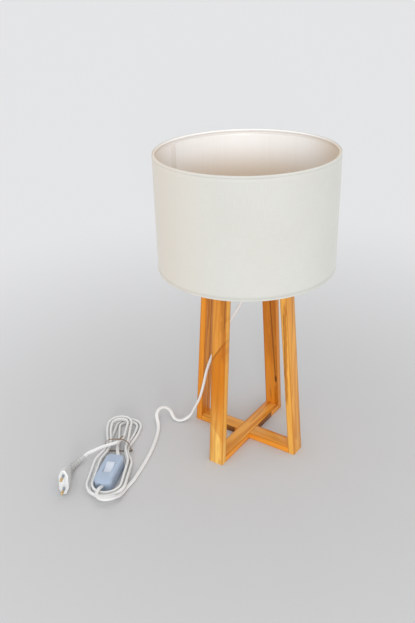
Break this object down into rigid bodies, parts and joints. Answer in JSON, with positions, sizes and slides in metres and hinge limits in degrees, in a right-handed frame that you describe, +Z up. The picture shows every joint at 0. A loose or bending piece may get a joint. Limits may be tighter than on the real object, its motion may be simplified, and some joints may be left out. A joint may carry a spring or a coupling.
{
  "type": "table lamp",
  "caption": "Table lamp with a fabric drum shade on crossed trapezoid wooden frames, with a screw lamp holder, a flat cord in a tied hank, an in-line switch and a plug.",
  "frame": {"origin": "on the floor under the middle of the lamp, where the two frames cross", "axes": "+Z up; one frame lies in the XZ plane and the other in the YZ plane; the cord leaves towards -X and the hank and plug lie towards -X and -Y"},
  "size_m": [0.325, 0.4065, 0.456],
  "materials": {
    "wood": "clear varnish, satin",
    "zinc": "bright zinc",
    "white_plastic": "moulded",
    "ceramic": "unglazed",
    "brass": "plain",
    "core": "wire insulation",
    "cord": "soft sheath",
    "tie": "paper twist tie",
    "white_wire": "white lacquer",
    "shade_fabric": "plain weave",
    "shade_lining": "pearly sheen",
    "bulb_white": "opal",
    "nickel": "nickel plated",
    "black_glass": "glossy",
    "switch_shell": "moulded",
    "rocker": "moulded",
    "clamp_grey": "moulded",
    "plug": "moulded",
    "relief": "soft, ribbed"
  },
  "bodies": {
    "lamp": {"front_leg": "wood", "back_leg": "wood", "left_leg": "wood", "right_leg": "wood", "foot_bar_front_back": "wood", "foot_bar_left_right": "wood", "top_bar_front_back": "wood", "top_bar_left_right": "wood", "corner_brads": "zinc", "threaded_rod": "zinc", "lower_washer": "zinc", "lower_nut": "zinc", "upper_washer": "zinc", "switch_pivot": "zinc", "switch_screws": "zinc", "cord_grip": "white_plastic", "grip_screw": "white_plastic", "holder_cap": "white_plastic", "holder_shell": "white_plastic", "holder_insert": "ceramic", "screw_sleeve": "brass", "centre_contact": "brass", "terminal_screws": "brass", "switch_contacts": "brass", "plug_pins": "brass", "core_wires": "core", "cord_in_rod": "cord", "cord_drop": "cord", "cord_hank": "cord", "cord_tail": "cord", "cord_tie": "tie", "fitter_frame": "white_wire", "top_wire": "white_wire", "shade_cover": "shade_fabric", "top_trim": "shade_fabric", "bottom_trim": "shade_fabric", "shade_lining": "shade_lining", "switch_base": "switch_shell", "switch_cover": "switch_shell", "cord_clamps": "clamp_grey", "pin_sleeves": "clamp_grey", "plug_body": "plug", "plug_relief": "relief"},
    "bulb": {"bulb_glass": "bulb_white", "bulb_cap": "nickel", "bulb_insulator": "black_glass", "bulb_tip": "nickel"},
    "shade_ring": {"shade_ring": "white_plastic"},
    "rocker": {"switch_rocker": "rocker"}
  },
  "joints": [
    {"name": "bulb_screw", "type": "hinge", "parent": "lamp", "child": "bulb", "pos_m": [0, 0, 0.32], "axis": [0, 0, 1], "continuous": true},
    {"name": "ring_screw", "type": "hinge", "parent": "lamp", "child": "shade_ring", "pos_m": [0, 0, 0.3207], "axis": [0, 0, 1], "continuous": true},
    {"name": "switch_rock", "type": "hinge", "parent": "lamp", "child": "rocker", "pos_m": [-0.113, -0.203, 0.0175], "axis": [-0.9336, -0.3584, 0], "range_deg": [0, 18]}
  ]
}
